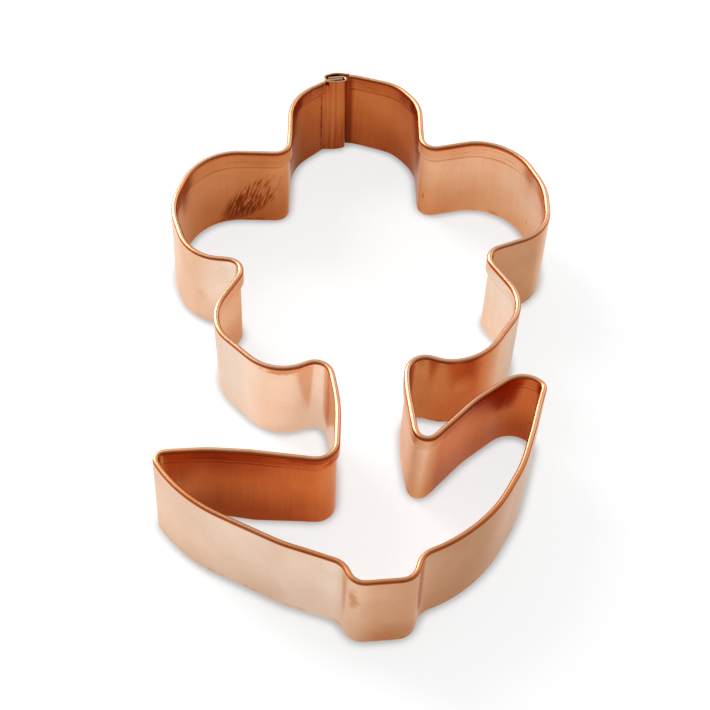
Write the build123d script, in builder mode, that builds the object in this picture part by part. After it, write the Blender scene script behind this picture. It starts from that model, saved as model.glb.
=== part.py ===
from build123d import *
from math import cos, pi, radians, sin, tan
import os

# A cookie cutter: one strip of sheet copper stood on edge and bent into a flower with a stem,
# two leaves and a foot. Its top edge is folded inwards to a blunt rim, its bottom edge is the
# plain cutting edge, and its two ends hook into each other in a lock seam on the top petal.
# Millimetres. The cutting edge lies on z = 0, +Y runs up the stem to the top petal, and the
# origin is the middle of the plan. The strip is followed from end to end by the middle of its
# sheet, with the inside of the cutter on the left.

# The outline, over the middle of the sheet
outline_width = 81.0
outline_length = 126.5
wall_height = 22.2
sheet = 0.5

# The folded rim, whose round top is made of flat facets
rim_slot = 0.15
flap_height = 3.5
tab_reach = 1.1
tab_corner = 0.5
fold_facets = 4

# Bends, to the middle of the sheet
valley_bend = 2.5
petal_bend = 9.0
shoulder_bend = 12.5
corner_bend = 3.6
tip_bend = 1.9
foot_bend = 3.6
sweep_bend = 31.0
crest_bend = 6.5
crease_bend = 1.4

# The lock seam: four layers of sheet, the strip's ends folded round each other
seam_width = 5.0
seam_slack = 0.3
seam_nip = 0.1
seam_tilt = 5.0
seam_crown = 0.3
crease_reach = 0.35
brow_reach = 2.3
brow_fall = 0.8
seam_place_shares = (-0.022, 0.485)
seam_crown_share = 0.18

# How much of a run two neighbouring bends may fill, and where between them a span ends
bend_fill_share = 0.95
span_end_share = 0.5
rim_end_share = 0.96

# Corners of the bent outline, span by span, anticlockwise from the seam: the bend there, then
# its place in shares of the outline's width and length
corner_shares = {
    "petal_top_left": [(petal_bend, -0.145, 0.430)],
    "petal_upper_left": [
        (valley_bend, -0.160, 0.315),
        (shoulder_bend, -0.390, 0.325),
        (shoulder_bend, -0.465, 0.205),
        (petal_bend, -0.420, 0.100),
    ],
    "petal_lower_left": [
        (valley_bend, -0.275, 0.085),
        (petal_bend, -0.380, -0.025),
        (shoulder_bend, -0.220, -0.140),
    ],
    "stem_left": [(corner_bend, -0.090, -0.105), (sweep_bend, -0.075, -0.195)],
    "leaf_left_upper": [(corner_bend, -0.085, -0.290), (sweep_bend, -0.375, -0.265)],
    "leaf_left_lower": [
        (tip_bend, -0.515, -0.265),
        (sweep_bend, -0.445, -0.345),
        (sweep_bend, -0.215, -0.430),
    ],
    "foot": [
        (foot_bend, -0.080, -0.465),
        (foot_bend, -0.065, -0.500),
        (foot_bend, 0.080, -0.495),
        (foot_bend, 0.100, -0.455),
    ],
    "leaf_right_lower": [(sweep_bend, 0.245, -0.420), (sweep_bend, 0.350, -0.310)],
    "leaf_right_upper": [
        (tip_bend, 0.425, -0.165),
        (crest_bend, 0.370, -0.130),
        (sweep_bend, 0.245, -0.190),
    ],
    "stem_right": [(tip_bend, 0.115, -0.275), (sweep_bend, 0.100, -0.160)],
    "petal_lower_right": [
        (corner_bend, 0.110, -0.100),
        (petal_bend, 0.200, -0.125),
        (shoulder_bend, 0.295, -0.115),
        (petal_bend, 0.410, -0.010),
    ],
    "petal_upper_right": [
        (valley_bend, 0.320, 0.090),
        (petal_bend, 0.495, 0.130),
        (shoulder_bend, 0.500, 0.225),
        (shoulder_bend, 0.425, 0.340),
    ],
    "petal_top_right": [
        (valley_bend, 0.195, 0.315),
        (petal_bend, 0.200, 0.415),
        (petal_bend, 0.145, 0.465),
    ],
}

# Levels of the seam's layers, outwards from the middle of the seam, and their folds
nip_level = (sheet + seam_nip) / 2
main_level = nip_level + sheet + seam_slack
fold_bend = (main_level + nip_level) / 2
fold_middle = seam_width / 2 - fold_bend - sheet / 2
fold_side = fold_middle + fold_bend
seam_x_share, seam_y_share = seam_place_shares
seam_origin = (outline_width * seam_x_share, outline_length * seam_y_share, 0)
seam_plane = Plane(Location(seam_origin, (0, 0, seam_tilt)))


def seam_corners(bend, *places):
    """Corners on the seam, from their places along its width and outwards from its middle."""
    return [(bend, seam_plane.from_local_coords((x, y, 0))) for x, y in places]


def outline_corners(rows):
    """Corners of the outline, from their bends and their shares of its width and length."""
    return [(bend, Vector(outline_width * x, outline_length * y, 0)) for bend, x, y in rows]


# Every span's corners, in order along the strip
inner_hook = seam_corners(fold_bend, (fold_side, nip_level), (fold_side, -main_level))
crease = seam_corners(crease_bend, (-seam_width / 2 - crease_reach, -main_level))
brow = seam_corners(shoulder_bend, (seam_width / 2 + brow_reach, main_level - brow_fall))
crown = seam_corners(petal_bend, (seam_width * seam_crown_share, main_level + seam_crown))
outer_hook = seam_corners(fold_bend, (-fold_side, main_level), (-fold_side, -nip_level))
outline = {name: outline_corners(rows) for name, rows in corner_shares.items()}
outline["petal_top_left"] = crease + outline["petal_top_left"]
outline["petal_top_right"] = outline["petal_top_right"] + brow
spans = {"seam_inner_hook": inner_hook, **outline, "seam_outer_hook": crown + outer_hook}

# The whole strip, whose two ends lie in the middle of the seam
strip_ends = seam_corners(0, (-fold_middle, nip_level), (fold_middle, -nip_level))
strip = [strip_ends[0], *(corner for corners in spans.values() for corner in corners), strip_ends[1]]
bends = [bend for bend, point in strip]
points = [point for bend, point in strip]
runs = [end - start for start, end in zip(points, points[1:])]


def bend_reach(corner, radius):
    """How far a bend of this radius reaches along the runs on both sides of its corner."""
    if radius == 0:
        return 0
    return radius * tan(radians(runs[corner - 1].get_angle(runs[corner])) / 2)


def eased_bends():
    """The bends, made smaller where two neighbours would meet."""
    reaches = [bend_reach(corner, bend) for corner, bend in enumerate(bends)]
    room = [
        min(1, bend_fill_share * run.length / (start + end))
        for run, start, end in zip(runs, reaches, reaches[1:])
    ]
    return [bend * min(before, after) for bend, before, after in zip(bends, [1, *room], [*room, 1])]


radii = eased_bends()


def straight_point(corner, share):
    """The point at this share of the straight between a corner's bend and the next one."""
    start = bend_reach(corner, radii[corner])
    end = bend_reach(corner + 1, radii[corner + 1])
    way = runs[corner].normalized()
    return points[corner] + way * (start + (runs[corner].length - start - end) * share)


# Each span runs between two cuts across the straights, and covers the corners between them
last_corners = [0]
for corners in spans.values():
    last_corners.append(last_corners[-1] + len(corners))
rim_start = straight_point(last_corners[1], rim_end_share)
other_cuts = [straight_point(corner, span_end_share) for corner in last_corners[2:-1]]
cuts = [points[0], rim_start, *other_cuts, points[-1]]

# The folded rim across the wall, inwards from the middle of the sheet, and up
slot_face = sheet / 2 + rim_slot
flap_face = slot_face + sheet
fold_radius = (flap_face + sheet / 2) / 2
fold_centre = flap_face - fold_radius
rim_shoulder = wall_height - fold_radius
flap_end = wall_height - flap_height


def fold_point(number):
    """A corner of the faceted fold, counted from the flap over to the outer face."""
    angle = pi * number / fold_facets
    return (fold_centre + fold_radius * cos(angle), rim_shoulder + fold_radius * sin(angle))


rimmed_section = [
    (-sheet / 2, 0),
    (sheet / 2, 0),
    (sheet / 2, rim_shoulder),
    (slot_face, rim_shoulder),
    (slot_face, flap_end),
    (flap_face, flap_end),
    *(fold_point(number) for number in range(fold_facets + 1)),
]


def plane_across(run):
    """The plane across the strip at the start of a run: x inwards, y up."""
    way = run % 0
    return Plane(run @ 0, x_dir=(-way.Y, way.X, 0), z_dir=way)


def bent_strip(number, name):
    """One span of the strip: its section swept along its run, from one cut to the next."""
    first, last = last_corners[number] + 1, last_corners[number + 1] + 1
    with BuildPart() as span:
        with BuildLine():
            route = (cuts[number], *points[first:last], cuts[number + 1])
            run = FilletPolyline(*route, radius=radii[first:last])
        with BuildSketch(plane_across(run)):
            if name in outline:
                with BuildLine():
                    Polyline(*rimmed_section, close=True)
                make_face()
            else:
                Rectangle(sheet, wall_height, align=(Align.CENTER, Align.MIN))
        sweep(path=run)
    return span


# The spans of the strip
pieces = {name: bent_strip(number, name) for number, name in enumerate(spans)}

# The left rim's flap reaches past the end of the rim as a small round-cornered tab
flap_plane = Plane(
    seam_plane.from_local_coords((0, 0, 0)), x_dir=seam_plane.x_dir, z_dir=-seam_plane.y_dir
)
rim_end = seam_plane.to_local_coords(rim_start).X
with BuildPart() as petal_top_left:
    add(pieces["petal_top_left"].part)
    with BuildSketch(flap_plane.offset(main_level + slot_face)):
        with Locations((rim_end, flap_end)):
            Rectangle(tab_reach, rim_shoulder - flap_end, align=Align.MIN)
        fillet(vertices().group_by(Axis.X)[-1], tab_corner)
    extrude(amount=sheet)
pieces["petal_top_left"] = petal_top_left

os.makedirs("parts", exist_ok=True)
for name, piece in pieces.items():
    piece.part.label = name
    export_step(piece.part, f"parts/{name}.step")
    print(name, round(piece.part.volume, 2), "mm3")
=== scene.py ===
import math
import bmesh
import bpy
import numpy as np
from mathutils import Matrix, Vector


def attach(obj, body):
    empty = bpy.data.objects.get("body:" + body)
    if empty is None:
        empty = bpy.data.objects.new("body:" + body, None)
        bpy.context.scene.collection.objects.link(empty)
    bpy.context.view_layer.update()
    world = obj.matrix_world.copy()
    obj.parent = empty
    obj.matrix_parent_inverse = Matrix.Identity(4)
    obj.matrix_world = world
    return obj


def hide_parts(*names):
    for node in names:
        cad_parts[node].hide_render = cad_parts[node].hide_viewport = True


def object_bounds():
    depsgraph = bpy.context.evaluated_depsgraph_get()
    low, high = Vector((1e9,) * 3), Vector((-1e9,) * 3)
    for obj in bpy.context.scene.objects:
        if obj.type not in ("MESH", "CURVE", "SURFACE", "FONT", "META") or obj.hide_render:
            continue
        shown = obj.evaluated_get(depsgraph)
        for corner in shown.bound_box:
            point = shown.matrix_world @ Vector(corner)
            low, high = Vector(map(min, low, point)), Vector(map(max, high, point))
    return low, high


# A cookie cutter: one strip of sheet copper on edge, bent into a flower with a stem, two leaves
# and a foot. Metres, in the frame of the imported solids: the cutting edge lies on z = 0, +Y runs up
# the stem to the top petal, and the strip is followed with the inside of the cutter on its left.
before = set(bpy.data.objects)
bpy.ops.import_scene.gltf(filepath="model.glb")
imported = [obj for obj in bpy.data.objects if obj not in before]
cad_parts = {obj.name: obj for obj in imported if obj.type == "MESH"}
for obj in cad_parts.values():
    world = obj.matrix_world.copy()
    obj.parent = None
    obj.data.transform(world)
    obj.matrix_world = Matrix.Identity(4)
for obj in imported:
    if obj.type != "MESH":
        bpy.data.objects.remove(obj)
cad_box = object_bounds()
MM = 0.001

# Sizes of the strip, as in the solids, which have a longer tab and no eased edges
outline_width = 81.0 * MM
outline_length = 126.5 * MM
wall_height = cad_box[1].z
sheet = 0.5 * MM
rim_slot = 0.15 * MM
flap_height = 3.5 * MM
tab_reach = 0.85 * MM
tab_corner = 0.5 * MM
cut_edge = 0.1 * MM
flap_edge = 0.15 * MM

# Bends, to the middle of the sheet
valley_bend = 2.5 * MM
petal_bend = 9.0 * MM
shoulder_bend = 12.5 * MM
corner_bend = 3.6 * MM
tip_bend = 1.9 * MM
foot_bend = 3.6 * MM
sweep_bend = 31.0 * MM
crest_bend = 6.5 * MM
crease_bend = 1.4 * MM

# How much of a run two neighbouring bends may fill, and where between them a span ends
bend_fill_share = 0.95
span_end_share = 0.5
rim_end_share = 0.96

# The lock seam: four layers of sheet, the strip's ends folded round each other
seam_width = 5.0 * MM
seam_slack = 0.3 * MM
seam_nip = 0.1 * MM
seam_tilt = math.radians(5.0)
seam_crown = 0.3 * MM
crease_reach = 0.35 * MM
brow_reach = 2.3 * MM
brow_fall = 0.8 * MM
seam_place_shares = (-0.022, 0.485)
seam_crown_share = 0.18

# How the seam's layers arch: places out from its middle, in halves of its width, and how far a
# layer moves outwards there, in shares of the slack
arch_places = (0.0, 0.3, 0.6, 0.85, 1.0, 1.2, 1.6)
arch_shares = (0.35, 0.22, -0.10, -0.40, -0.50, -0.30, 0.0)

# Corners of the outline, span by span: the bend there, then shares of the width and the length
corner_shares = {
    "petal_top_left": [(petal_bend, -0.145, 0.430)],
    "petal_upper_left": [
        (valley_bend, -0.160, 0.315),
        (shoulder_bend, -0.390, 0.325),
        (shoulder_bend, -0.465, 0.205),
        (petal_bend, -0.420, 0.100),
    ],
    "petal_lower_left": [
        (valley_bend, -0.275, 0.085),
        (petal_bend, -0.380, -0.025),
        (shoulder_bend, -0.220, -0.140),
    ],
    "stem_left": [(corner_bend, -0.090, -0.105), (sweep_bend, -0.075, -0.195)],
    "leaf_left_upper": [(corner_bend, -0.085, -0.290), (sweep_bend, -0.375, -0.265)],
    "leaf_left_lower": [
        (tip_bend, -0.515, -0.265),
        (sweep_bend, -0.445, -0.345),
        (sweep_bend, -0.215, -0.430),
    ],
    "foot": [
        (foot_bend, -0.080, -0.465),
        (foot_bend, -0.065, -0.500),
        (foot_bend, 0.080, -0.495),
        (foot_bend, 0.100, -0.455),
    ],
    "leaf_right_lower": [(sweep_bend, 0.245, -0.420), (sweep_bend, 0.350, -0.310)],
    "leaf_right_upper": [
        (tip_bend, 0.425, -0.165),
        (crest_bend, 0.370, -0.130),
        (sweep_bend, 0.245, -0.190),
    ],
    "stem_right": [(tip_bend, 0.115, -0.275), (sweep_bend, 0.100, -0.160)],
    "petal_lower_right": [
        (corner_bend, 0.110, -0.100),
        (petal_bend, 0.200, -0.125),
        (shoulder_bend, 0.295, -0.115),
        (petal_bend, 0.410, -0.010),
    ],
    "petal_upper_right": [
        (valley_bend, 0.320, 0.090),
        (petal_bend, 0.495, 0.130),
        (shoulder_bend, 0.500, 0.225),
        (shoulder_bend, 0.425, 0.340),
    ],
    "petal_top_right": [
        (valley_bend, 0.195, 0.315),
        (petal_bend, 0.200, 0.415),
        (petal_bend, 0.145, 0.465),
    ],
}

# How far the hand-bent walls lean, in millimetres, by marks along the strip: the span, how far
# along it, the way that the rim goes (x, y), and the way that the cutting edge goes
lean_marks = [
    ("seam_inner_hook", 0.00, (0.0, -0.5), (0.0, 0.25)),
    ("seam_inner_hook", 0.35, (0.0, -0.5), (0.0, 0.25)),
    ("seam_inner_hook", 0.55, (0.0, -0.5), (0.0, 0.5)),
    ("petal_top_left", 0.05, (0.0, 0.0), (0.0, 0.5)),
    ("petal_top_left", 0.25, (-0.1, 0.5), (0.0, 0.5)),
    ("petal_top_left", 0.45, (-0.1, 0.4), (0.0, 0.4)),
    ("petal_top_left", 0.90, (0.0, 0.0), (0.0, 0.0)),
    ("petal_upper_left", 0.60, (0.0, 0.0), (0.0, 0.0)),
    ("petal_upper_left", 0.76, (0.0, 0.0), (-0.3, 0.0)),
    ("petal_upper_left", 0.90, (0.0, 0.0), (0.1, 0.6)),
    ("petal_lower_left", 0.10, (0.2, 0.0), (0.3, 0.3)),
    ("petal_lower_left", 0.50, (-0.2, -0.3), (0.3, 0.2)),
    ("stem_left", 0.10, (0.0, 0.0), (0.0, 0.0)),
    ("stem_left", 0.50, (0.2, 0.0), (0.1, 0.0)),
    ("stem_left", 0.90, (0.2, 0.0), (0.3, -0.2)),
    ("leaf_left_upper", 0.20, (0.0, 0.1), (0.35, -0.6)),
    ("leaf_left_upper", 0.60, (0.0, 0.6), (0.0, -1.1)),
    ("leaf_left_lower", 0.02, (0.25, 0.2), (0.5, -0.2)),
    ("leaf_left_lower", 0.13, (0.1, 0.0), (-0.1, -0.6)),
    ("leaf_left_lower", 0.30, (0.0, 0.0), (0.1, -0.4)),
    ("leaf_left_lower", 0.60, (0.0, 0.0), (0.0, 0.0)),
    ("leaf_right_lower", 0.60, (0.0, 0.0), (0.0, 0.0)),
    ("leaf_right_lower", 0.92, (0.3, 0.0), (0.2, 0.0)),
    ("leaf_right_upper", 0.10, (0.1, -0.3), (0.1, 0.0)),
    ("leaf_right_upper", 0.50, (0.5, -0.6), (0.0, 0.0)),
    ("stem_right", 0.10, (0.0, 0.0), (-0.4, 0.0)),
    ("stem_right", 0.60, (-0.1, 0.0), (-0.8, 0.0)),
    ("petal_lower_right", 0.10, (0.0, 0.0), (-0.3, 1.1)),
    ("petal_lower_right", 0.34, (0.0, 0.0), (0.0, 1.2)),
    ("petal_lower_right", 0.60, (0.0, 0.0), (0.0, 0.2)),
    ("petal_upper_right", 0.10, (0.0, 0.0), (-0.2, -0.2)),
    ("petal_upper_right", 0.50, (0.0, 0.0), (0.0, 0.0)),
    ("petal_top_right", 0.50, (0.0, 0.1), (0.0, 0.0)),
    ("petal_top_right", 0.90, (0.0, -0.4), (0.0, 0.0)),
    ("seam_outer_hook", 0.45, (0.0, -0.5), (0.0, 0.0)),
    ("seam_outer_hook", 0.65, (0.0, -0.5), (0.0, 0.25)),
]

# How deep the flap hangs under the top of the rim, in millimetres, by marks along the strip
flap_marks = [
    ("petal_top_left", 0.0, 2.6),
    ("petal_top_left", 0.4, 3.4),
    ("petal_top_left", 0.9, 3.8),
    ("petal_upper_left", 0.4, 4.2),
    ("petal_lower_left", 0.5, 3.8),
    ("leaf_left_upper", 0.5, 3.1),
    ("leaf_left_lower", 0.5, 3.2),
    ("leaf_right_lower", 0.5, 3.2),
    ("leaf_right_upper", 0.5, 3.2),
    ("petal_lower_right", 0.5, 3.6),
    ("petal_upper_right", 0.5, 4.0),
    ("petal_top_right", 0.7, 3.3),
]

# How red the copper is by marks along the strip, from tarnish and from painted shade and highlights:
# its redness outside and inside, from clean at 0 to deep at 1, and then how much light painted shade
# takes away outside and inside, or painted light gives back where the value is negative
tarnish_and_shade_marks = [
    ("seam_inner_hook", 0.0, 0.30, 0.76, 0.0, 0.18),
    ("petal_top_left", 0.05, 0.30, 0.78, 0.0, 0.18),
    ("petal_top_left", 0.6, 0.30, 0.86, 0.0, 0.30),
    ("petal_top_left", 0.95, 0.30, 0.70, 0.0, 0.15),
    # Paler inside at the valley's bend: a painted highlight
    ("petal_upper_left", 0.09, 0.30, 0.60, 0.0, 0.08),
    ("petal_upper_left", 0.2, 0.30, 0.66, 0.0, 0.16),
    ("petal_upper_left", 0.55, 0.06, 0.58, 0.16, 0.10),
    ("petal_upper_left", 0.7, 0.04, 0.55, 0.04, 0.05),
    ("petal_upper_left", 0.9, 0.27, 0.55, 0.08, 0.04),
    ("petal_lower_left", 0.1, 0.05, 0.42, 0.04, 0.05),
    ("petal_lower_left", 0.5, 0.0, 0.40, 0.04, 0.0),
    ("petal_lower_left", 0.65, 0.04, 0.40, 0.02, 0.0),
    ("petal_lower_left", 0.8, 0.22, 0.40, -0.08, 0.0),
    ("petal_lower_left", 0.97, 0.24, 0.40, 0.0, 0.0),
    ("stem_left", 0.4, 0.12, 0.08, 0.0, 0.0),
    ("leaf_left_upper", 0.1, 0.30, 0.66, 0.0, -0.10),
    ("leaf_left_upper", 0.3, 0.30, 0.84, 0.0, -0.12),
    ("leaf_left_upper", 0.8, 0.30, 0.90, 0.0, 0.13),
    ("leaf_left_lower", 0.2, 0.12, 0.60, 0.10, 0.0),
    ("leaf_left_lower", 0.8, 0.18, 0.60, 0.14, 0.0),
    ("foot", 0.15, 0.10, 0.60, 0.04, 0.0),
    ("foot", 0.5, 0.38, 0.60, 0.16, 0.0),
    ("foot", 0.85, 0.38, 0.60, 0.25, 0.0),
    # Painted shade on the outside of the right leaf, which faces the dim right and front
    ("leaf_right_lower", 0.2, 0.42, 0.60, 0.40, 0.0),
    ("leaf_right_lower", 0.6, 0.28, 0.60, 0.34, 0.0),
    ("leaf_right_lower", 0.95, 0.05, 0.60, 0.32, 0.0),
    ("leaf_right_upper", 0.1, 0.30, 0.84, 0.0, -0.04),
    ("leaf_right_upper", 0.5, 0.30, 0.84, 0.0, -0.06),
    ("leaf_right_upper", 0.9, 0.30, 0.82, 0.0, -0.12),
    ("stem_right", 0.1, 0.40, 0.80, 0.0, 0.0),
    ("stem_right", 0.27, 0.40, 0.32, 0.0, 0.0),
    ("stem_right", 0.40, 0.40, 0.46, 0.0, 0.12),
    ("stem_right", 0.55, 0.40, 0.30, 0.0, 0.0),
    # Painted shade on the outside of the right petals, which face the dim right
    ("petal_lower_right", 0.1, 0.66, 0.30, 0.18, 0.0),
    ("petal_lower_right", 0.4, 0.82, 0.30, 0.06, 0.0),
    ("petal_lower_right", 0.55, 0.30, 0.30, 0.08, 0.0),
    ("petal_lower_right", 0.7, 0.06, 0.20, 0.22, 0.0),
    ("petal_lower_right", 0.95, 0.30, 0.06, 0.20, 0.0),
    ("petal_upper_right", 0.1, 0.48, 0.15, 0.27, 0.0),
    ("petal_upper_right", 0.3, 0.46, 0.20, 0.28, 0.0),
    ("petal_upper_right", 0.42, 0.02, 0.20, 0.10, 0.0),
    ("petal_upper_right", 0.6, 0.05, 0.32, 0.0, -0.02),
    ("petal_upper_right", 0.85, 0.15, 0.40, 0.0, -0.05),
    ("petal_top_right", 0.15, 0.30, 0.44, 0.0, 0.0),
    ("petal_top_right", 0.3, 0.30, 0.80, 0.0, 0.10),
    ("petal_top_right", 0.8, 0.30, 0.77, 0.0, 0.11),
    ("petal_top_right", 0.965, 0.30, 0.77, 0.0, 0.12),
    # Painted shade in the narrow gap beside the seam's panel
    ("petal_top_right", 0.985, 0.30, 0.98, 0.0, 0.40),
    ("seam_outer_hook", 0.1, 0.30, 0.98, 0.0, 0.40),
    ("seam_outer_hook", 0.9, 0.30, 0.76, 0.0, 0.18),
]

# Single marks on the copper: the span, how far along it, the height, half the length and half the
# height of the mark in millimetres, its side (inside is 1), and how strong it is, or how much
# cleaner than the copper round it where that is negative
blot_marks = [
    ("petal_top_right", 0.148, 6.0, 0.14, 1.0, 1, 0.50),
    ("petal_upper_right", 0.626, 5.6, 0.30, 0.35, 1, 0.40),
    ("petal_upper_right", 0.56, 8.2, 0.20, 0.25, 1, 0.25),
    ("leaf_right_upper", 0.315, 6.7, 0.35, 0.40, 1, 0.35),
    ("petal_lower_left", 0.88, 21.2, 4.50, 1.20, 0, 0.35),
    ("foot", 0.35, 15.5, 1.10, 4.00, 0, 0.22),
    ("foot", 0.62, 0.0, 7.00, 8.00, 0, 0.20),
    ("petal_upper_left", 0.92, 9.0, 1.20, 2.40, 0, 0.05),
    ("petal_top_left", 0.055, 9.5, 0.30, 9.50, 1, 0.40),
    # Painted shade for a crumple in the flap
    ("leaf_left_upper", 0.169, 19.8, 1.40, 0.90, 1, 0.30),
    ("leaf_left_upper", 0.220, 21.3, 7.00, 1.00, 1, 0.30),
    ("petal_lower_right", 0.33, 13.5, 2.40, 3.40, 0, -0.16),
]

# How far out a blot starts and where it is full, in halves of its size, and how uneven that is
blot_edge = (1.2, 0.2)
blot_unevenness = 2.2

# A patch of slanting scratches on the upper left petal's inner face, thinner towards its top
scratch_span, scratch_share = "petal_upper_left", 0.225
scratch_height = 7.8 * MM
scratch_long, scratch_wide = 11.0 * MM, 4.2 * MM
scratch_lean = math.radians(40)
scratch_edge = (1.1, 0.2)
scratch_thinning = -0.16

# Its strokes: their slant, how fine they are along it and across it, and where noise becomes one
stroke_lean = math.radians(18)
stroke_fineness = (260, 2300)
stroke_edge = (-0.12, 0.12)

# A row of tooth marks from the folding tool, under the right leaf's rim: where it is, half of it
# and its soft end, the distance between two teeth, and where the wave of teeth becomes a mark
tooth_span, tooth_share = "leaf_right_upper", 0.70
tooth_row = (4.5 * MM, 1.5 * MM)
tooth_pitch = 0.9 * MM
tooth_edge = (0.1, 0.7)

# Patterns in clouds: how fine, how many finer layers there are, and how strong those are
cloud_patterns = {
    "patches": (75, 3, 0.5),
    "grain": (1400, 4, 0.6),
    "stains": (350, 3, 0.6),
    "blot_edges": (700, 3, 0.6),
}

# Patterns in lines: how fine along the strip and up the wall, and how many finer layers there are
line_patterns = {
    "streaks": (1700, 60, 3),
    "lines": (25, 4200, 3),
    "roll_breaks": (130, 900, 2),
}

# Bands under the top of the rim: how far down the middle is, half the band, and its soft edge
# The first band is a painted highlight along the flap's lower edge, the second painted shade under it
flap_line_band = (flap_height - 0.05 * MM, 0.10 * MM, 0.08 * MM)
flap_shade_band = (flap_height + 0.95 * MM, 0.15 * MM, 0.35 * MM)
roll_line_bands = [(1.45 * MM, 0.02 * MM, 0.12 * MM), (2.30 * MM, 0.02 * MM, 0.12 * MM)]
tooth_band = (0.85 * MM, 0.35 * MM, 0.15 * MM)

# Marks near the top of the wall: how far down each one starts to show, and where it is full
flap_fade = (flap_height + 0.10 * MM, flap_height)
top_fade = (0.20 * MM, 0.05 * MM)
cut_top_fade = (0.12 * MM, 0.05 * MM)

# Painted shade on the flanks of the rim's round top: how far down it ends outside, how much further
# inside, and over how much it fades
flank_end = 0.60 * MM
flank_more_inside = 0.30 * MM
flank_fade = 0.25 * MM

# Marks near the cutting edge: how high up each one starts to show, and where it is full
foot_line_fade = (0.35 * MM, 0.15 * MM)
foot_stain_fade = (1.5 * MM, 0.4 * MM)
# Painted shade low on the wall, deepening towards the cutting edge
low_wall_shade_fade = (0.60 * wall_height, 0)
low_painted_shade_fade = (0.85 * wall_height, 0)

# Between which values a pattern becomes a stain or a stretch of a rolling line, and from which
# redness to which a wall gets painted shade low down
stain_edge = (0.02, 0.14)
roll_line_edge = (0.0, 0.10)
low_painted_shade_redness = (0.15, 0.80)

# How strong the shade under the flap is, on its own and by the lines and the patches
shade_evenly, shade_by_lines, shade_by_patches = 0.8, 1.6, 2.0

# How red the painted shade on the flanks is, and how much the patches change that
flank_shade_redness, flank_patches = 0.88, 0.3

# The round top, a painted highlight: how red it is behind and in front, where one turns into the
# other, and the patches
top_highlight_redness = (0.41, 0.57)
top_highlight_change = (-0.22 * outline_length, -0.33 * outline_length)
top_patches = 0.4

# How much each pattern and mark adds to the copper's redness, to the light that it swallows, to
# its roughness and to its relief
redness_effects = {
    "blots": 0.8,
    "scratches": 0.32,
    "patches": 0.22,
    "grain": 0.02,
    "streaks": 0.03,
    "inner_streaks": 0.06,
    "panel_streaks": 0.30,
    "lines": 0.03,
    "flap_lines": 0.20,
    "on_flap": 0.05,
    "flap_shade": 0.16,
    # A painted highlight along the flap's lower edge
    "flap_line": -0.28,
    "roll_lines": 0.14,
    "foot_line": -0.15,
    "foot_stain": 0.18,
    "cut_top": -0.15,
    # Painted shade low on the wall
    "low_wall_shade": 0.06,
    "low_inner_wall_shade": 0.08,
}
darkness_effects = {
    # Painted shade low on the wall, inside and outside
    "low_painted_shade": 0.28,
    "low_outer_wall_shade": 0.06,
    "blots": 0.6,
    "scratches": 0.30,
    "flap_shade": 0.16,
    "roll_lines": 0.20,
    "teeth": 0.7,
    "on_flap": 0.06,
    "patches": 0.15,
    "panel_streaks": 0.35,
}
roughness_effects = {"patches": 0.16, "grain": 0.03, "lines": 0.04, "inside": 0.03, "on_top": 0.12}
relief_effects = {"grain": 0.03, "streaks": 0.10, "lines": 0.08, "flap_lines": 0.7}
clean_roughness = 0.25
least_roughness = 0.12
relief_strength = 0.35
relief_depth = 0.02 * MM

# The tab's layers: how far through the sheet, and how much of the eased edge is cut away
tab_layers = [(0.0, 1.0), (0.2, 0.0), (0.8, 0.0), (1.0, 1.0)]
tab_wear = 0.75
# Painted shade on the tab: how much light its faces and eased edges lose; the middle of its cut sides
# loses none
tab_edge_painted_shade = 0.2

# Copper from clean to deeply tarnished: the redness, and the colour there
copper_stops = [
    (0.00, (0.80, 0.68, 0.60)),
    (0.12, (0.88, 0.69, 0.56)),
    (0.28, (0.84, 0.54, 0.37)),
    (0.45, (0.76, 0.38, 0.20)),
    (0.65, (0.70, 0.24, 0.080)),
    (0.82, (0.64, 0.150, 0.036)),
    (1.00, (0.45, 0.068, 0.012)),
]

# The tint of its gloss at a grazing angle
edge_tint = (0.96, 0.78, 0.66)

# Slow waves of the hand-bent wall: how far along the strip and up the wall one radian of the wave
# is, where the wave starts, and how far the wall moves with it
ripple_waves = [
    (along * MM, up * MM, start, size * MM)
    for along, up, start, size in [
        (5.1, 14.0, 0.3, 0.035),
        (3.3, -9.0, 1.9, 0.025),
        (1.9, 21.0, 4.0, 0.012),
    ]
]

# Steps of the mesh: along the strip, up the wall and the flap, round the folds and the edges
fine_step = 0.05 * MM
wall_step = 0.5 * MM
hook_step = 0.12 * MM
wall_rows = 22
flap_rows = 6
fold_steps = 12
slot_steps = 4
flap_edge_steps = 4
cut_edge_steps = 3
flat_steps = 2
tab_steps = 6

# How widely the change from bend to straight is evened out, how many widths count, and over what
# length beside the seam it sets in
ease_length = 0.55 * MM
ease_widths = 3
seam_distance = 4.0 * MM

# The camera at the photograph's viewing angle
camera_sensor = 36.0
camera_lens = 92.62
camera_clip = 10 * MM
camera_distance = 379.6 * MM
camera_target = Vector((-0.24 * MM, 2.82 * MM, 0))
camera_elevation = math.radians(54.07)
camera_turn = math.radians(-5.5)
camera_roll = math.radians(2.736)

# The floor: its reach, its own white, and the light that it shows to the camera. Then how far the
# shadow at the object's foot reaches, how open the sky is at its two ends, and the light left there
floor_reach = 6.0
floor_white = 0.27
floor_glow = 0.82
contact_reach = 2.2 * MM
contact_samples = 8
contact_open = (0.4, 1.0)
contact_level = 0.45

# The room: its light low down and overhead, and how steep a way up reaches the latter. Then the
# way to its dark side, how near to that the dark starts and is full, and the light left there
room_level = 0.85
ceiling_level = 0.58
ceiling_start = 0.90
dark_way = (0.0, -0.8, 0.6)
dark_start = 0.05
dark_end = 0.75
dark_level = 0.45

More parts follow.
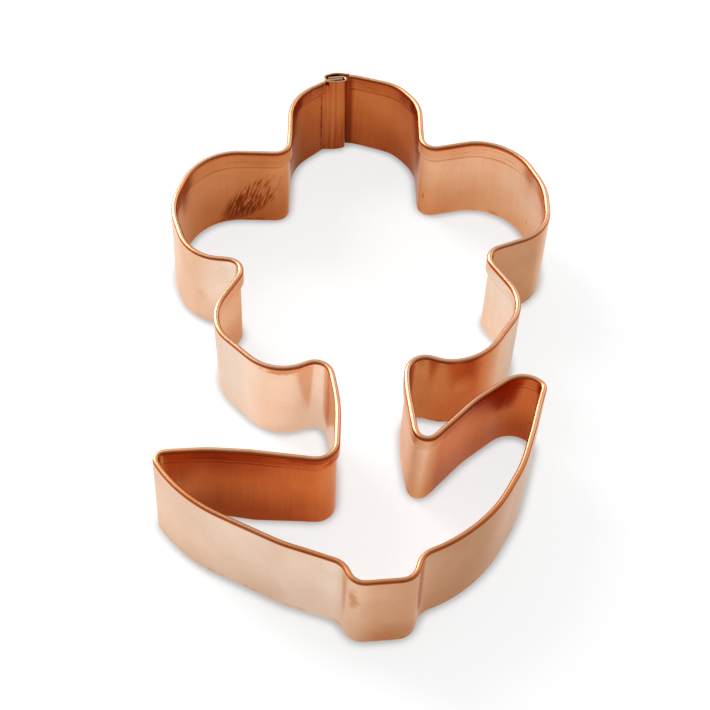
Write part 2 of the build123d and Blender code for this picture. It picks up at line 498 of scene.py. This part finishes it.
# The lamps: the name, the place, the way that the height leans, the width, the height, the power
lamps = [
    ("left", (-0.66, 0.57, 0.50), (0.5, 0.0, 0.87), 0.36, 1.05, 13.0),
    ("right", (0.66, 0.45, 0.50), (0.0, 0.0, 1.0), 0.60, 0.60, 1.0),
]


# Levels of the seam's layers, outwards from the middle of the seam, and their folds
nip_level = (sheet + seam_nip) / 2
main_level = nip_level + sheet + seam_slack
fold_bend = (main_level + nip_level) / 2
fold_middle = seam_width / 2 - fold_bend - sheet / 2
fold_side = fold_middle + fold_bend


def seam_point(x, y):
    """A point in plan from its places along the seam and outwards from the seam's middle."""
    origin = Vector((outline_width * seam_place_shares[0], outline_length * seam_place_shares[1]))
    return origin + Matrix.Rotation(seam_tilt, 2) @ Vector((x, y))


def seam_corners(bend, *places):
    """Corners on the seam, with one bend."""
    return [(bend, seam_point(x, y)) for x, y in places]


def outline_corners(rows):
    """Corners of the outline, from their bends and shares."""
    return [(bend, Vector((outline_width * x, outline_length * y))) for bend, x, y in rows]


def strip_spans():
    """Every span's corners, in order along the strip."""
    inner_hook = seam_corners(fold_bend, (fold_side, nip_level), (fold_side, -main_level))
    crease = seam_corners(crease_bend, (-seam_width / 2 - crease_reach, -main_level))
    brow = seam_corners(shoulder_bend, (seam_width / 2 + brow_reach, main_level - brow_fall))
    crown = seam_corners(petal_bend, (seam_width * seam_crown_share, main_level + seam_crown))
    outer_hook = seam_corners(fold_bend, (-fold_side, main_level), (-fold_side, -nip_level))
    outline = {name: outline_corners(rows) for name, rows in corner_shares.items()}
    outline["petal_top_left"] = crease + outline["petal_top_left"]
    outline["petal_top_right"] = outline["petal_top_right"] + brow
    return {"seam_inner_hook": inner_hook, **outline, "seam_outer_hook": crown + outer_hook}


def arched_seam(line):
    """The line with the seam's layers nipped at the two folds and bulging between them. What is
    further out than the seam stays as it is."""
    cos, sin = math.cos(seam_tilt), math.sin(seam_tilt)
    turn = np.array([[cos, sin], [-sin, cos]])
    along, out = ((line - np.array(seam_point(0, 0))) @ turn.T).T
    share = np.clip((np.abs(out) - nip_level) / (main_level - nip_level), 0, 1)
    share[np.abs(out) > 2 * main_level] = 0
    bulge = np.interp(np.abs(along) / (seam_width / 2), arch_places, arch_shares)
    shift = seam_slack * bulge * share * np.sign(out)
    return line + shift[:, None] * turn[1]


class Strip:
    """The middle line of the strip in plan, and where each span of it begins and ends."""

    def __init__(self, spans):
        ends = seam_corners(0, (-fold_middle, nip_level), (fold_middle, -nip_level))
        corners = [ends[0], *(corner for span in spans.values() for corner in span), ends[1]]
        points = [point for bend, point in corners]
        runs = [end - start for start, end in zip(points, points[1:])]
        reaches = [0]
        for number, (before, after) in enumerate(zip(runs, runs[1:]), 1):
            reaches.append(corners[number][0] * math.tan(before.angle(after) / 2))
        reaches.append(0)
        room = [
            min(1, bend_fill_share * run.length / (start + end))
            for run, start, end in zip(runs, reaches, reaches[1:])
        ]
        ease = [min(before, after) for before, after in zip([1, *room], [*room, 1])]
        self.line = [np.array([points[0]])]
        self.length = 0.0
        self.straights = []
        for number, run in enumerate(runs):
            way = run.normalized()
            start = points[number] + way * reaches[number] * ease[number]
            end = points[number + 1] - way * reaches[number + 1] * ease[number + 1]
            self.add(start, end)
            if number + 1 < len(runs):
                radius = corners[number + 1][0] * ease[number + 1]
                self.add_bend(end, way, runs[number + 1].normalized(), radius)
        self.line = arched_seam(np.concatenate(self.line))
        self.place_cuts(spans)
        self.smooth()

    def add(self, start, end):
        """A straight stretch."""
        size = (end - start).length
        count = max(1, round(size / fine_step))
        shares = np.arange(1, count + 1)[:, None] / count
        self.line.append(np.array(start) * (1 - shares) + np.array(end) * shares)
        self.straights.append((self.length, self.length + size))
        self.length += size

    def add_bend(self, start, way, next_way, radius):
        """A round bend from one straight to the next."""
        turn = math.atan2(way.cross(next_way), way.dot(next_way))
        side = math.copysign(1, turn)
        centre = start + Vector((-way.y, way.x)) * radius * side
        count = max(2, round(radius * abs(turn) / fine_step))
        for step in range(1, count + 1):
            spoke = Matrix.Rotation(turn * step / count, 2) @ (start - centre)
            self.line.append(np.array([centre + spoke]))
        self.length += radius * abs(turn)

    def place_cuts(self, spans):
        """Where each span begins and ends, as lengths along the strip."""
        self.cuts = {}
        number, start = 0, 0.0
        for name, corners in spans.items():
            number += len(corners)
            first, last = self.straights[number]
            share = rim_end_share if name == "seam_inner_hook" else span_end_share
            end = first + (last - first) * share if number + 1 < len(self.straights) else last
            self.cuts[name] = (start, end)
            start = end

    def smooth(self):
        """Evens out the change from bend to straight, except in the seam, and keeps the line."""
        steps = np.linalg.norm(np.diff(self.line, axis=0), axis=1)
        lengths = np.concatenate([[0], np.cumsum(steps)])
        self.places = np.arange(0, lengths[-1], fine_step)
        self.places = np.append(self.places, lengths[-1])
        line = np.stack([np.interp(self.places, lengths, self.line[:, axis]) for axis in (0, 1)], 1)
        half = round(ease_widths * ease_length / fine_step)
        kernel = np.exp(-0.5 * (np.arange(-half, half + 1) * fine_step / ease_length) ** 2)
        kernel /= kernel.sum()
        padded = np.pad(line, ((half, half), (0, 0)), mode="edge")
        eased = np.stack([np.convolve(padded[:, axis], kernel, "valid") for axis in (0, 1)], 1)
        first = self.cuts["seam_inner_hook"][1]
        last = self.cuts["seam_outer_hook"][0]
        weight = np.clip((self.places - first) / seam_distance, 0, 1)
        weight *= np.clip((last - self.places) / seam_distance, 0, 1)
        self.line = line + (eased - line) * weight[:, None]

    def place(self, name, share):
        """How far along the strip this share of a span is."""
        start, end = self.cuts[name]
        return start + (end - start) * share

    def at(self, places):
        """Points of the middle line, and the way inwards there."""
        points = np.stack([np.interp(places, self.places, self.line[:, k]) for k in (0, 1)], 1)
        ways = np.gradient(self.line, axis=0)
        ways /= np.linalg.norm(ways, axis=1)[:, None]
        way = np.stack([np.interp(places, self.places, ways[:, k]) for k in (0, 1)], 1)
        way /= np.linalg.norm(way, axis=1)[:, None]
        return points, np.stack([-way[:, 1], way[:, 0]], 1)


# Sections: rows of how far inwards, how high, and how much of a deeper flap the row takes up


def arc(centre, radius, start, end, steps, sag=0.0):
    """Points of an arc in the section, without its first one."""
    angles = np.radians(np.linspace(start, end, steps + 1)[1:])
    inward = centre[0] + radius * np.cos(angles)
    height = centre[1] + radius * np.sin(angles)
    return np.stack([inward, height, np.full(steps, sag)], 1)


def line(start, end, steps, sags=(0.0, 0.0)):
    """Points of a straight in the section, without its first one."""
    shares = np.linspace(0, 1, steps + 1)[1:, None]
    first, last = np.array([*start, sags[0]]), np.array([*end, sags[1]])
    return first * (1 - shares) + last * shares


def foot_edge():
    """The eased cutting edge, from the outer face round to the inner one."""
    half = sheet / 2
    return [
        arc((cut_edge - half, cut_edge), cut_edge, 180, 270, cut_edge_steps),
        line((cut_edge - half, 0), (half - cut_edge, 0), flat_steps),
        arc((half - cut_edge, cut_edge), cut_edge, 270, 360, cut_edge_steps),
    ]


def plain_section():
    """A sheet on edge with eased cut edges."""
    half, head = sheet / 2, wall_height - cut_edge
    parts = [
        line((half, cut_edge), (half, head), wall_rows),
        arc((half - cut_edge, head), cut_edge, 0, 90, cut_edge_steps),
        line((half - cut_edge, wall_height), (cut_edge - half, wall_height), flat_steps),
        arc((cut_edge - half, head), cut_edge, 90, 180, cut_edge_steps),
        line((-half, head), (-half, cut_edge), wall_rows),
        *foot_edge(),
    ]
    return np.concatenate(parts)


def rimmed_section():
    """The wall with its top folded inwards over a narrow slot into a hanging flap."""
    half = sheet / 2
    slot_face = half + rim_slot
    flap_face = slot_face + sheet
    near, far = slot_face + flap_edge, flap_face - flap_edge
    fold_radius = (flap_face + half) / 2
    shoulder = wall_height - fold_radius
    tip = wall_height - flap_height + flap_edge
    low = tip - flap_edge
    parts = [
        line((half, cut_edge), (half, tip), wall_rows, (0, 1)),
        line((half, tip), (half, shoulder), flap_rows, (1, 0)),
        arc((half + rim_slot / 2, shoulder), rim_slot / 2, 180, 0, slot_steps),
        line((slot_face, shoulder), (slot_face, tip), flap_rows, (0, 1)),
        arc((near, tip), flap_edge, 180, 270, flap_edge_steps, 1),
        line((near, low), (far, low), flat_steps, (1, 1)),
        arc((far, tip), flap_edge, 270, 360, flap_edge_steps, 1),
        line((flap_face, tip), (flap_face, shoulder), flap_rows, (1, 0)),
        arc((flap_face - fold_radius, shoulder), fold_radius, 0, 180, fold_steps),
        line((-half, shoulder), (-half, cut_edge), wall_rows),
        *foot_edge(),
    ]
    return np.concatenate(parts)


class Marks:
    """A table of values by marks along the strip, read at any place between them."""

    def __init__(self, strip, rows):
        self.places = [strip.place(name, share) for name, share, *values in rows]
        self.columns = np.array([np.hstack(values) for name, share, *values in rows]).T

    def at(self, places):
        """One row of values for each place."""
        return np.stack([np.interp(places, self.places, column) for column in self.columns], 1)


def new_object(name, data):
    """An object in the scene."""
    made = bpy.data.objects.new(name, data)
    bpy.context.scene.collection.objects.link(made)
    return made


def keep_values(mesh, place, values):
    """Keeps what the material reads at each point: its place, and single values by name."""
    attribute = mesh.attributes.new("strip_place", "FLOAT_VECTOR", "POINT")
    attribute.data.foreach_set("vector", np.ravel(place))
    for name, value in values.items():
        attribute = mesh.attributes.new(name, "FLOAT", "POINT")
        attribute.data.foreach_set("value", np.ravel(value))


class Sheet:
    """The bent strip as a surface: a section carried along the middle line."""

    def __init__(self, strip):
        self.strip = strip
        self.leans = Marks(strip, lean_marks)
        self.depths = Marks(strip, flap_marks)
        self.tarnish_and_shade = Marks(strip, tarnish_and_shade_marks)
        self.low, self.high = (np.array(corner) for corner in cad_box)

    def ripple(self, places, heights):
        """The slight unevenness of a hand-bent wall."""
        total = np.zeros(np.broadcast_shapes(places.shape, heights.shape))
        for along, up, start, size in ripple_waves:
            total = total + size * np.sin(places / along + heights / up + start)
        return total

    def rings(self, places, section):
        """Points of the section at each place: the section has rows of inward, height, sag."""
        points, inwards = self.strip.at(places)
        depth = self.depths.at(places) * MM - flap_height
        heights = section[None, :, 1] - depth * section[None, :, 2]
        out = section[None, :, 0] + self.ripple(places[:, None], heights)
        plan = points[:, None, :] + inwards[:, None, :] * out[:, :, None]
        lean = self.leans.at(places)[:, None, :] * MM
        share = (heights / wall_height)[:, :, None]
        plan = plan + lean[:, :, :2] * share + lean[:, :, 2:] * (1 - share)
        rings = np.concatenate([plan, heights[:, :, None]], 2)
        return np.clip(rings, self.low, self.high)

    def normals(self, places, section):
        """The way out of the sheet at each of those points."""
        ahead = self.rings(places + fine_step / 2, section)
        behind = self.rings(places - fine_step / 2, section)
        rings = self.rings(places, section)
        around = np.roll(rings, -1, 1) - np.roll(rings, 1, 1)
        normals = np.cross(around, ahead - behind)
        return normals / np.linalg.norm(normals, axis=2)[:, :, None]

    def piece(self, name, section, step):
        """A span of the strip as a closed mesh that joins its neighbours without a mark."""
        start, end = self.strip.cuts[name]
        count = max(2, math.ceil((end - start) / step))
        places = np.linspace(start, end, count + 1)
        rings, normals = self.rings(places, section), self.normals(places, section)
        rows, ring = rings.shape[:2]
        index = np.arange(rows * ring).reshape(rows, ring)
        quads = np.stack(
            [index[:-1], np.roll(index, -1, 1)[:-1], np.roll(index, -1, 1)[1:], index[1:]], 2
        ).reshape(-1, 4)
        caps = [list(index[0, ::-1]), list(index[-1])]
        mesh = bpy.data.meshes.new(name)
        mesh.from_pydata(rings.reshape(-1, 3), [], [*quads.tolist(), *caps])
        mesh.polygons.foreach_set("use_smooth", [True] * len(mesh.polygons))
        corner_normals = normals.reshape(-1, 3)[quads.ravel()]
        points, inwards = self.strip.at(places)
        for way, row in ((-1, 0), (1, -1)):
            along = np.array([inwards[row, 1], -inwards[row, 0], 0]) * way
            corner_normals = np.concatenate([corner_normals, np.tile(along, (ring, 1))])
        mesh.normals_split_custom_set(corner_normals.tolist())
        self.note(mesh, places, section)
        return new_object(name + "_sheet", mesh)

    def note(self, mesh, places, section):
        """Notes each point's place along the strip, its height and its side, its redness from tarnish
        and painted shade, its painted shade and light, and whether the strip has its folded rim there."""
        inside = np.clip(section[:, 0] / sheet + 0.5, 0, 1)
        shape = (len(places), len(section))
        along = np.broadcast_to(places[:, None], shape)
        height = np.broadcast_to(section[:, 1], shape)
        place = np.stack([along, height, np.broadcast_to(inside, shape)], 2)
        outer, inner, outer_painted_shade, inner_painted_shade = self.tarnish_and_shade.at(places).T[:, :, None]
        values = {
            "tarnish_and_shade": outer * (1 - inside) + inner * inside,
            "painted_shade": outer_painted_shade * (1 - inside) + inner_painted_shade * inside,
            "rim": np.full(shape, float(section[:, 2].any())),
        }
        keep_values(mesh, place, values)


def rim_tab(surface):
    """The round-cornered end of the flap that reaches past the left end of the rim."""
    start = surface.strip.cuts["petal_top_left"][0]
    low = wall_height - surface.depths.at(np.array([start]))[0, 0] * MM
    high = wall_height - (sheet + rim_slot + sheet) / 2
    left = tab_corner - tab_reach
    points, inwards = surface.strip.at(np.array([start]))
    way = np.array([inwards[0, 1], -inwards[0, 0]])
    flat = np.concatenate([
        [(0.0, low, 0.0)],
        line((0, low), (left, low), 1),
        arc((left, low + tab_corner), tab_corner, 270, 180, tab_steps),
        arc((left, high - tab_corner), tab_corner, 180, 90, tab_steps),
        line((left, high), (0, high), 1),
    ])[:, :2]
    middle = np.array([-tab_reach / 2, (low + high) / 2])
    layers = []
    for inward, eased in tab_layers:
        shrunk = flat - np.sign(flat - middle) * eased * cut_edge
        level = np.full(len(flat), sheet / 2 + rim_slot + sheet * inward)
        section = np.stack([level, shrunk[:, 1], np.zeros(len(flat))], 1)
        ring = surface.rings(np.array([start]), section)[0]
        ring[:, :2] += shrunk[:, :1] * way
        layers.append(ring)
    count = len(flat)
    last = count * (len(layers) - 1)
    faces = [list(range(count))[::-1], list(range(last, last + count))]
    for layer in range(len(layers) - 1):
        for corner in range(count):
            a, b = layer * count + corner, layer * count + (corner + 1) % count
            faces.append([a, b, b + count, a + count])
    mesh = bpy.data.meshes.new("rim_tab")
    mesh.from_pydata(np.concatenate(layers).tolist(), [], faces)
    mesh.update()
    shaper = bmesh.new()
    shaper.from_mesh(mesh)
    bmesh.ops.recalc_face_normals(shaper, faces=shaper.faces)
    shaper.to_mesh(mesh)
    shaper.free()
    place = [(start, point.co.z, 1.0) for point in mesh.vertices]
    # Painted shade on the tab's faces and eased edges
    painted_shade = np.repeat([eased * tab_edge_painted_shade for inward, eased in tab_layers], count)
    values = {"tarnish_and_shade": np.full(len(painted_shade), tab_wear), "painted_shade": painted_shade, "rim": np.zeros(len(painted_shade))}
    keep_values(mesh, place, values)
    return new_object("rim_tab", mesh)


class Graph:
    """Shader nodes, added and joined in one step. A value is a number, a colour or a socket."""

    def __init__(self, owner):
        owner.use_nodes = True
        self.nodes, self.links = owner.node_tree.nodes, owner.node_tree.links

    def node(self, kind, values=(), **settings):
        """A node with its settings, and its inputs filled in."""
        node = self.nodes.new("ShaderNode" + kind)
        for name, setting in settings.items():
            setattr(node, name, setting)
        for name, value in dict(values).items():
            self.fill(node.inputs[name], value)
        return node

    def fill(self, socket, value):
        """Joins a socket to an input, or writes a plain value there."""
        if isinstance(value, bpy.types.NodeSocket):
            self.links.new(value, socket)
        else:
            socket.default_value = value

    def math(self, operation, *values, clamp=False):
        """A sum, product or other operation."""
        node = self.node("Math", enumerate(values), operation=operation, use_clamp=clamp)
        return node.outputs[0]

    def add(self, *values):
        """The sum of all the values."""
        total = values[0]
        for value in values[1:]:
            total = self.math("ADD", total, value)
        return total

    def times(self, *values):
        """The product of all the values."""
        total = values[0]
        for value in values[1:]:
            total = self.math("MULTIPLY", total, value)
        return total

    def step(self, value, start, end, low=0.0, high=1.0):
        """A smooth step from low to high while the value goes from start to end."""
        inputs = {"Value": value, "From Min": start, "From Max": end, "To Min": low, "To Max": high}
        node = self.node("MapRange", interpolation_type="SMOOTHSTEP")
        for name, number in inputs.items():
            self.fill(node.inputs[name], number)
        return node.outputs[0]

    def band(self, value, middle, half, edge):
        """One within half of the middle, falling to nothing over the edge."""
        away = self.math("ABSOLUTE", self.math("SUBTRACT", value, middle))
        return self.step(away, half, half + edge, 1.0, 0.0)

    def noise(self, vector, scale, detail=3.0, roughness=0.5):
        """Noise from about -0.5 to 0.5."""
        inputs = {"Vector": vector, "Scale": scale, "Detail": detail, "Roughness": roughness}
        node = self.node("TexNoise", inputs)
        return self.math("SUBTRACT", node.outputs[0], 0.5)

    def blend(self, value, share, other):
        """The value, turning into the other one by this share."""
        return self.add(self.times(value, self.rest(share)), self.times(other, share))

    def rest(self, value):
        """What is left of one."""
        return self.math("SUBTRACT", 1, value)

    def attribute(self, name, output="Fac"):
        """What the mesh keeps at each point under this name."""
        return self.node("Attribute", attribute_name=name).outputs[output]

    def vector(self, *values):
        """A vector from its three parts."""
        return self.node("CombineXYZ", enumerate(values)).outputs[0]

    def ramp(self, value, stops):
        """Colours by value."""
        node = self.node("ValToRGB", {0: value})
        elements = node.color_ramp.elements
        while len(elements) < len(stops):
            elements.new(0.5)
        for element, (position, colour) in zip(elements, stops):
            element.position = position
            element.color = (*colour, 1)
        return node.outputs[0]


def blots(graph, strip, along, height, sides, edges):
    """The single marks, with uneven edges."""
    total = 0.0
    for name, share, middle, length, rise, side, strength in blot_marks:
        across = graph.math("SUBTRACT", along, strip.place(name, share))
        across = graph.math("DIVIDE", across, length * MM)
        up = graph.math("DIVIDE", graph.math("SUBTRACT", height, middle * MM), rise * MM)
        away = graph.math("SQRT", graph.add(graph.times(across, across), graph.times(up, up)))
        unevenness = graph.times(edges, blot_unevenness / max(1, min(length, rise)))
        spread = graph.step(graph.add(away, unevenness), *blot_edge, 0, strength)
        total = graph.add(graph.times(spread, sides[side]), total)
    return total


def scratches(graph, strip, along, height, inside):
    """A patch of slanting strokes."""
    across = graph.math("SUBTRACT", strip.place(scratch_span, scratch_share), along)
    up = graph.math("SUBTRACT", height, scratch_height)

    def turned(lean):
        """How far along a slanting line, and how far away from it."""
        far = graph.add(graph.times(up, math.cos(lean)), graph.times(across, math.sin(lean)))
        off = graph.add(graph.times(across, math.cos(lean)), graph.times(up, -math.sin(lean)))
        return far, off

    far, off = turned(scratch_lean)
    far, off = graph.math("DIVIDE", far, scratch_long), graph.math("DIVIDE", off, scratch_wide)
    near = graph.step(graph.add(graph.times(far, far), graph.times(off, off)), *scratch_edge)
    thinning = graph.times(far, scratch_thinning)
    spot = (graph.times(way, fine) for way, fine in zip(turned(stroke_lean), stroke_fineness))
    strokes = graph.noise(graph.vector(*spot, 0), 1, 2)
    strokes = graph.step(graph.add(strokes, thinning), *stroke_edge)
    return graph.times(near, strokes, inside)


def tooth_marks(graph, strip, along, below):
    """A short row of tooth marks just under the rim's round top."""
    teeth = graph.step(graph.math("SINE", graph.times(along, 2 * math.pi / tooth_pitch)), *tooth_edge)
    row = graph.band(along, strip.place(tooth_span, tooth_share), *tooth_row)
    return graph.times(teeth, row, graph.band(below, *tooth_band))


def copper_marks(graph, strip):
    """How strong each pattern and mark of the copper is."""
    place = graph.attribute("strip_place", "Vector")
    along, height, inside = graph.node("SeparateXYZ", {0: place}).outputs
    below = graph.math("SUBTRACT", wall_height, height)
    outside = graph.rest(inside)
    rim = graph.attribute("rim")
    inner_rim = graph.times(rim, inside)
    no_rim = graph.rest(rim)

    point = graph.node("TexCoord").outputs["Object"]
    marks = {name: graph.noise(point, *pattern) for name, pattern in cloud_patterns.items()}
    for name, (fine_along, fine_up, layers) in line_patterns.items():
        spot = graph.vector(graph.times(along, fine_along), graph.times(height, fine_up), inside)
        marks[name] = graph.noise(spot, 1, layers)
    patches, streaks, lines = marks["patches"], marks["streaks"], marks["lines"]

    # The rim: the flap, the round top, painted shade on its flanks and under the flap, rolling lines
    on_flap = graph.times(graph.step(below, *flap_fade), inner_rim)
    on_top = graph.times(graph.step(below, *top_fade), rim)
    end = graph.add(flank_end, graph.times(inside, flank_more_inside))
    flank_shade = graph.times(graph.step(below, *reversed(top_fade)), rim)
    flank_shade = graph.times(flank_shade, graph.step(below, graph.math("SUBTRACT", end, flank_fade), end, 1, 0))
    by_lines, by_patches = graph.times(lines, shade_by_lines), graph.times(patches, shade_by_patches)
    flap_shade = graph.times(graph.band(below, *flap_shade_band), inner_rim)
    flap_shade = graph.times(flap_shade, graph.add(shade_evenly, by_lines, by_patches))
    roll_lines = graph.add(*(graph.band(below, *band) for band in roll_line_bands))
    roll_lines = graph.times(roll_lines, inner_rim, graph.step(marks["roll_breaks"], *roll_line_edge))

    # The wall: stains at the cutting edge, and painted shade that deepens low down
    stains = graph.step(marks["stains"], *stain_edge)
    low_wall_shade = graph.step(height, *low_wall_shade_fade)
    low_painted_shade = graph.times(graph.step(height, *low_painted_shade_fade), inside)

    marks.update({
        "inside": inside,
        "on_top": on_top,
        "flank_shade": flank_shade,
        "blots": blots(graph, strip, along, height, (outside, inside), marks["blot_edges"]),
        "scratches": scratches(graph, strip, along, height, inside),
        "teeth": graph.times(tooth_marks(graph, strip, along, below), inner_rim),
        "inner_streaks": graph.times(streaks, inside),
        "panel_streaks": graph.times(streaks, inside, no_rim),
        "on_flap": on_flap,
        "flap_lines": graph.times(lines, on_flap),
        # A painted highlight along the flap's lower edge
        "flap_line": graph.times(graph.band(below, *flap_line_band), inner_rim),
        "flap_shade": flap_shade,
        "roll_lines": roll_lines,
        "cut_top": graph.times(graph.step(below, *cut_top_fade), no_rim),
        "foot_line": graph.step(height, *foot_line_fade),
        "foot_stain": graph.times(graph.step(height, *foot_stain_fade), stains),
        "low_wall_shade": low_wall_shade,
        "low_inner_wall_shade": graph.times(low_wall_shade, inside),
        "low_outer_wall_shade": graph.times(low_wall_shade, outside),
        "low_painted_shade": graph.times(low_painted_shade, graph.step(graph.attribute("tarnish_and_shade"), *low_painted_shade_redness)),
    })
    return marks


def copper_material(strip):
    """Copper sheet: pale outside, warmer and darker inside from tarnish and painted shade, with painted
    shade and highlights on the rim, and the marks of rolling along the rim, of handling, and of the
    folding tool."""
    material = bpy.data.materials.new("copper")
    graph = Graph(material)
    shader = graph.nodes["Principled BSDF"]
    shader.inputs["Metallic"].default_value = 1.0
    shader.inputs["Specular Tint"].default_value = (*edge_tint, 1)
    marks = copper_marks(graph, strip)
    patches, on_top, flank_shade = marks["patches"], marks["on_top"], marks["flank_shade"]

    def marked(start, effects):
        """A start, with what each mark adds to it."""
        return graph.add(start, *(graph.times(marks[name], size) for name, size in effects.items()))

    red = marked(graph.attribute("tarnish_and_shade"), redness_effects)
    # Painted shade on the rim's flanks, dark and red
    red = graph.blend(red, flank_shade, graph.add(flank_shade_redness, graph.times(patches, flank_patches)))
    # The round top takes its own redness as a painted highlight, paler behind than in front, never
    # darkened
    back = graph.node("SeparateXYZ", {0: graph.node("TexCoord").outputs["Object"]}).outputs[1]
    top = graph.step(back, *top_highlight_change, *top_highlight_redness)
    red = graph.blend(red, on_top, graph.add(top, graph.times(patches, top_patches)))
    dark = graph.times(marked(graph.attribute("painted_shade"), darkness_effects), graph.rest(on_top))
    light = graph.math("SUBTRACT", 1, dark, clamp=True)
    colour = graph.ramp(red, copper_stops)
    colour = graph.node("VectorMath", {0: colour, "Scale": light}, operation="SCALE")
    graph.fill(shader.inputs["Base Color"], colour.outputs[0])

    rough = graph.math("MAXIMUM", marked(clean_roughness, roughness_effects), least_roughness)
    graph.fill(shader.inputs["Roughness"], rough)
    smooth = graph.math("MAXIMUM", on_top, flank_shade)
    relief = graph.times(marked(0.0, relief_effects), graph.rest(smooth))
    bump = graph.node("Bump", {"Height": relief, "Strength": relief_strength, "Distance": relief_depth})
    graph.fill(shader.inputs["Normal"], bump.outputs[0])
    return material


def add_camera():
    """The camera, looking at its target from the front and above, a little rolled."""
    data = bpy.data.cameras.new("camera")
    data.sensor_width = camera_sensor
    data.lens = camera_lens
    data.clip_start = camera_clip
    camera = new_object("camera", data)
    aim = Matrix.Rotation(camera_turn, 4, "Z") @ Matrix.Rotation(math.pi / 2 - camera_elevation, 4, "X")
    aim = aim @ Matrix.Rotation(camera_roll, 4, "Z")
    back = aim.to_3x3() @ Vector((0, 0, 1))
    camera.matrix_world = Matrix.Translation(camera_target + back * camera_distance) @ aim
    bpy.context.scene.camera = camera


def seen_rays(graph):
    """One for the rays that see the background: the camera's, and those through gloss and glass."""
    path = graph.node("LightPath").outputs
    seen = graph.math("MAXIMUM", path["Is Camera Ray"], path["Is Glossy Ray"])
    return graph.math("MAXIMUM", seen, path["Is Transmission Ray"])


def add_floor():
    """A white floor that keeps the object's shadow, for the camera and for reflections."""
    mesh = bpy.data.meshes.new("floor")
    corners = [(-1, -1), (1, -1), (1, 1), (-1, 1)]
    mesh.from_pydata([(x * floor_reach, y * floor_reach, 0) for x, y in corners], [], [(0, 1, 2, 3)])
    floor = new_object("floor", mesh)
    material = bpy.data.materials.new("floor")
    graph = Graph(material)
    graph.nodes.clear()
    paint = graph.node("BsdfDiffuse", {"Color": (floor_white, floor_white, floor_white, 1)})
    sky = graph.node("AmbientOcclusion", {"Distance": contact_reach}, samples=contact_samples)
    contact = graph.step(sky.outputs["AO"], *contact_open, contact_level, 1.0)
    contact = graph.blend(1, graph.node("LightPath").outputs["Is Camera Ray"], contact)
    glow = graph.node("Emission", {"Strength": graph.times(seen_rays(graph), floor_glow, contact)})
    both = graph.node("AddShader", {0: paint.outputs[0], 1: glow.outputs[0]})
    graph.node("OutputMaterial", {"Surface": both.outputs[0]})
    mesh.materials.append(material)


def add_room():
    """A white room, bright low down, dimmer overhead, and dark on the camera's side."""
    world = bpy.data.worlds.new("room")
    bpy.context.scene.world = world
    graph = Graph(world)
    way = graph.node("TexCoord").outputs["Generated"]
    up = graph.node("SeparateXYZ", {0: way}).outputs[2]
    dark = graph.node("VectorMath", {0: way, 1: dark_way}, operation="DOT_PRODUCT").outputs["Value"]
    level = graph.step(up, 0.0, ceiling_start, room_level, ceiling_level)
    level = graph.times(level, graph.step(dark, dark_start, dark_end, 1, dark_level))
    background = graph.nodes["Background"]
    background.inputs["Color"].default_value = (1, 1, 1, 1)
    graph.fill(background.inputs["Strength"], level)


def add_lamp(name, place, lean, width, height, power):
    """A soft lamp that faces the object, with its height leaning this way."""
    data = bpy.data.lights.new(name, "AREA")
    data.shape = "RECTANGLE"
    data.size, data.size_y = width, height
    data.energy = power
    back = Vector(place).normalized()
    across = Vector(lean).cross(back).normalized()
    turn = Matrix((across, back.cross(across), back)).transposed()
    new_object(name, data).matrix_world = Matrix.Translation(place) @ turn.to_4x4()


spans = strip_spans()
strip = Strip(spans)
surface = Sheet(strip)
copper = copper_material(strip)
plain, rimmed = plain_section(), rimmed_section()
pieces = {}
for name in spans:
    hook = name.startswith("seam")
    pieces[name] = surface.piece(name, plain if hook else rimmed, hook_step if hook else wall_step)
    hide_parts(name)
pieces["rim_tab"] = rim_tab(surface)
for piece in pieces.values():
    piece.data.materials.append(copper)
    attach(piece, "root")

add_camera()
add_floor()
add_room()
for lamp in lamps:
    add_lamp(*lamp)
bpy.context.scene.view_settings.view_transform = "Standard"

bpy.context.view_layer.update()
